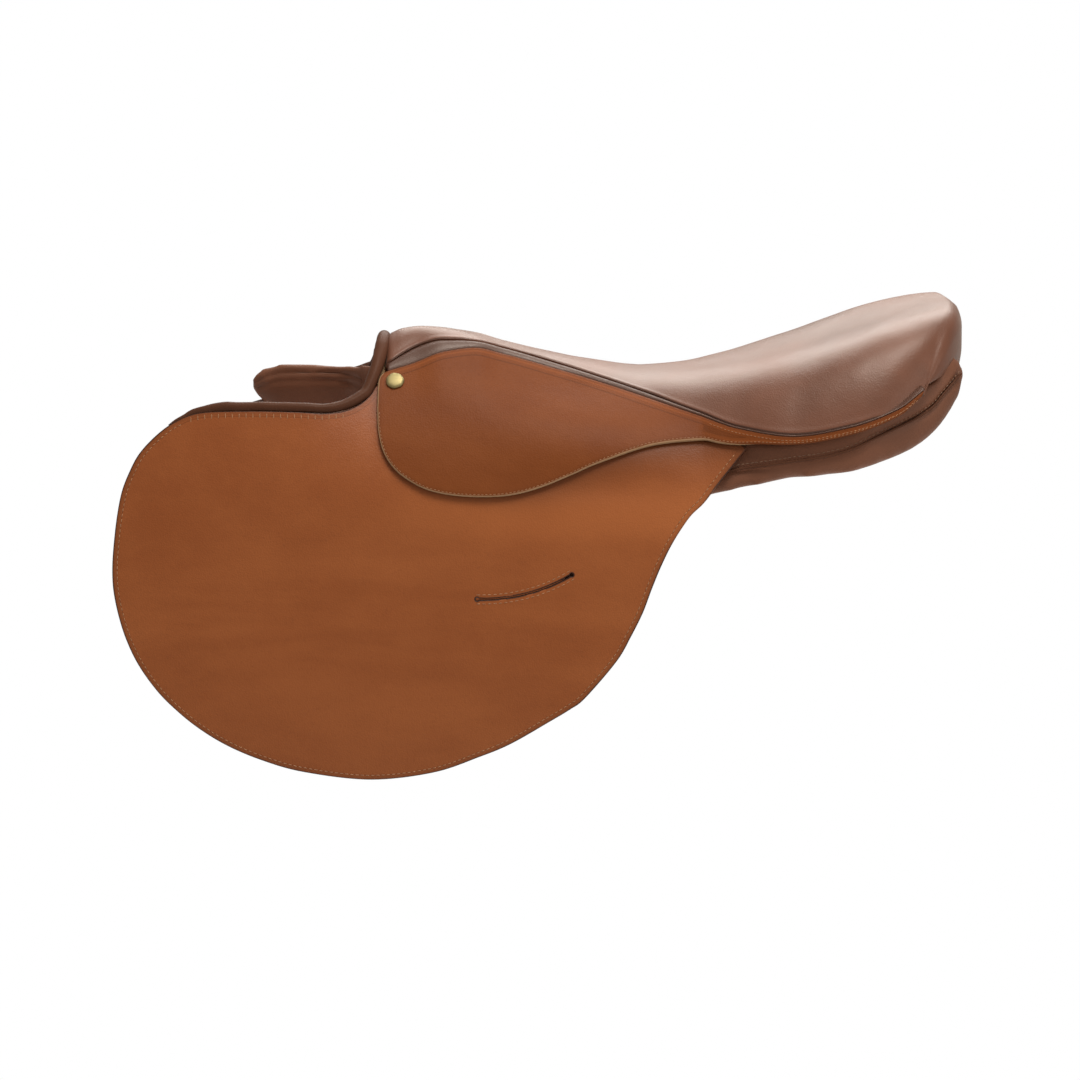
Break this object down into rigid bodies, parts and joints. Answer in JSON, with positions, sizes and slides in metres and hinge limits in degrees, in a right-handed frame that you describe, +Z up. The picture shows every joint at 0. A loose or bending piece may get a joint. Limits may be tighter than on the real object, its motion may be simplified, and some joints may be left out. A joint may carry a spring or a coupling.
{
  "type": "race exercise saddle",
  "caption": "Race exercise saddle: dipped seat on a sprung tree, forward cut flaps, small skirts, stirrup bars, half panels and girth straps.",
  "frame": {"origin": "on the centre plane, under the deepest point of the seat, between the panels where the horse's back carries the saddle", "axes": "+X to the cantle, the longest extent; -Y to the near (left) side; +Z up. The picture looks along +Y at the near side"},
  "size_m": [0.6508, 0.2516, 0.3518],
  "materials": {
    "seat_leather": "smooth dark brown hide, waxed to a soft sheen",
    "skirt_leather": "tan bridle leather, worn and rubbed",
    "flap_leather": "tan bridle leather with a fine pressed grain and dyed edges",
    "panel_leather": "thin dark chocolate hide, semi gloss",
    "strap_leather": "firm dark strap leather",
    "flocking": "packed wool",
    "foam": "seat padding",
    "webbing": "woven girth web",
    "beech": "laminated beech",
    "steel": "drop forged steel, lightly brushed",
    "brass": "pale brass, slightly uneven"
  },
  "bodies": {
    "saddle": {"seat_leather": "seat_leather", "seat_foam": "foam", "seat_web": "webbing", "front_arch": "beech", "head_plate": "steel", "gullet_plate": "steel", "pommel_facing": "panel_leather", "pommel_roll": "panel_leather", "front_girth_web": "webbing", "rear_girth_web": "webbing", "cantle_board": "beech", "near_tree_rail": "beech", "near_seat_welt": "panel_leather", "near_skirt": "skirt_leather", "near_flap": "flap_leather", "near_stirrup_bar": "steel", "near_bar_catch_pin": "steel", "near_bar_rivet_front": "steel", "near_bar_rivet_rear": "steel", "near_saddle_nail": "brass", "near_panel_facing": "panel_leather", "near_panel_lining": "panel_leather", "near_panel_flocking": "flocking", "near_panel_piping": "panel_leather", "off_tree_rail": "beech", "off_seat_welt": "panel_leather", "off_skirt": "skirt_leather", "off_flap": "flap_leather", "off_stirrup_bar": "steel", "off_bar_catch_pin": "steel", "off_bar_rivet_front": "steel", "off_bar_rivet_rear": "steel", "off_saddle_nail": "brass", "off_panel_facing": "panel_leather", "off_panel_lining": "panel_leather", "off_panel_flocking": "flocking", "off_panel_piping": "panel_leather"},
    "near_flap_lobe": {"near_flap_lobe": "flap_leather"},
    "near_skirt_lobe": {"near_skirt_lobe": "skirt_leather"},
    "near_bar_catch": {"near_bar_catch": "steel"},
    "near_front_billet": {"near_front_billet": "strap_leather"},
    "near_rear_billet": {"near_rear_billet": "strap_leather"},
    "off_flap_lobe": {"off_flap_lobe": "flap_leather"},
    "off_skirt_lobe": {"off_skirt_lobe": "skirt_leather"},
    "off_bar_catch": {"off_bar_catch": "steel"},
    "off_front_billet": {"off_front_billet": "strap_leather"},
    "off_rear_billet": {"off_rear_billet": "strap_leather"}
  },
  "joints": [
    {"name": "near_flap_lift", "type": "hinge", "parent": "saddle", "child": "near_flap_lobe", "pos_m": [-0.12, -0.10188, -0.003], "axis": [-0.9992, 0.04, 0], "range_deg": [0, 90]},
    {"name": "near_skirt_lift", "type": "hinge", "parent": "saddle", "child": "near_skirt_lobe", "pos_m": [-0.202, -0.06225, 0.07], "axis": [-0.9935, 0.091, 0.0687], "range_deg": [0, 80]},
    {"name": "near_catch_turn", "type": "hinge", "parent": "saddle", "child": "near_bar_catch", "pos_m": [-0.07379, -0.0758, 0.0531], "axis": [0.0526, 0.7815, -0.6217], "range_deg": [0, 80]},
    {"name": "near_front_billet_swing", "type": "hinge", "parent": "saddle", "child": "near_front_billet", "pos_m": [-0.158, -0.08362, 0.024], "axis": [0.04, 0.9992, 0], "range_deg": [-5, 5]},
    {"name": "near_rear_billet_swing", "type": "hinge", "parent": "saddle", "child": "near_rear_billet", "pos_m": [-0.047, -0.08813, 0.024], "axis": [0.04, 0.9992, 0], "range_deg": [-5, 5]},
    {"name": "off_flap_lift", "type": "hinge", "parent": "saddle", "child": "off_flap_lobe", "pos_m": [-0.12, 0.10188, -0.003], "axis": [0.9992, 0.04, 0], "range_deg": [0, 90]},
    {"name": "off_skirt_lift", "type": "hinge", "parent": "saddle", "child": "off_skirt_lobe", "pos_m": [-0.202, 0.06225, 0.07], "axis": [0.9935, 0.091, -0.0687], "range_deg": [0, 80]},
    {"name": "off_catch_turn", "type": "hinge", "parent": "saddle", "child": "off_bar_catch", "pos_m": [-0.07379, 0.0758, 0.0531], "axis": [-0.0526, 0.7815, 0.6217], "range_deg": [0, 80]},
    {"name": "off_front_billet_swing", "type": "hinge", "parent": "saddle", "child": "off_front_billet", "pos_m": [-0.158, 0.08362, 0.024], "axis": [-0.04, 0.9992, 0], "range_deg": [-5, 5]},
    {"name": "off_rear_billet_swing", "type": "hinge", "parent": "saddle", "child": "off_rear_billet", "pos_m": [-0.047, 0.08813, 0.024], "axis": [-0.04, 0.9992, 0], "range_deg": [-5, 5]}
  ]
}
